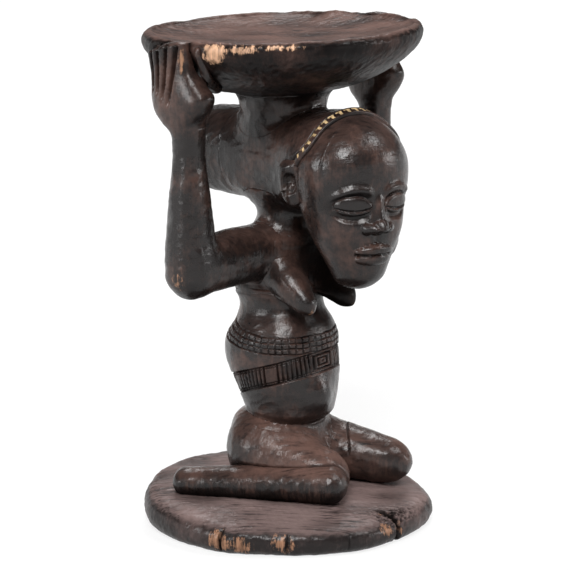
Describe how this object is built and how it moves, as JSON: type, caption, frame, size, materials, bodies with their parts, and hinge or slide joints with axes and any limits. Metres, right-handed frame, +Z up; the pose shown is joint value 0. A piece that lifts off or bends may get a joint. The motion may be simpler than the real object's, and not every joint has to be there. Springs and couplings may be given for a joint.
{
  "type": "carved wooden stool",
  "caption": "Round dished wooden seat carried on the raised hands and coiffure of a kneeling carved figure, on a round base plate.",
  "frame": {"origin": "middle of the flat underside of the base plate", "axes": "+Z up, the figure faces -Y, +X is the figure's left hand side"},
  "size_m": [0.2902, 0.2796, 0.4748],
  "materials": {
    "figure_wood": "oiled, very dark, semi-gloss on the high points",
    "base_wood": "dry and worn, matt",
    "seat_wood": "dark and handled, satin",
    "bare_wood": "rubbed bare in places, matt"
  },
  "bodies": {
    "root": {"base": "base_wood", "right_shin": "figure_wood", "left_shin": "figure_wood", "right_thigh": "figure_wood", "left_thigh": "figure_wood", "hips": "figure_wood", "belly": "figure_wood", "chest": "figure_wood", "neck": "figure_wood", "head": "figure_wood", "hair_band": "bare_wood", "coiffure": "figure_wood", "seat_post": "figure_wood", "right_upper_arm": "figure_wood", "left_upper_arm": "figure_wood", "right_forearm": "figure_wood", "left_forearm": "figure_wood", "right_hand": "figure_wood", "left_hand": "figure_wood", "seat": "seat_wood"}
  },
  "joints": []
}
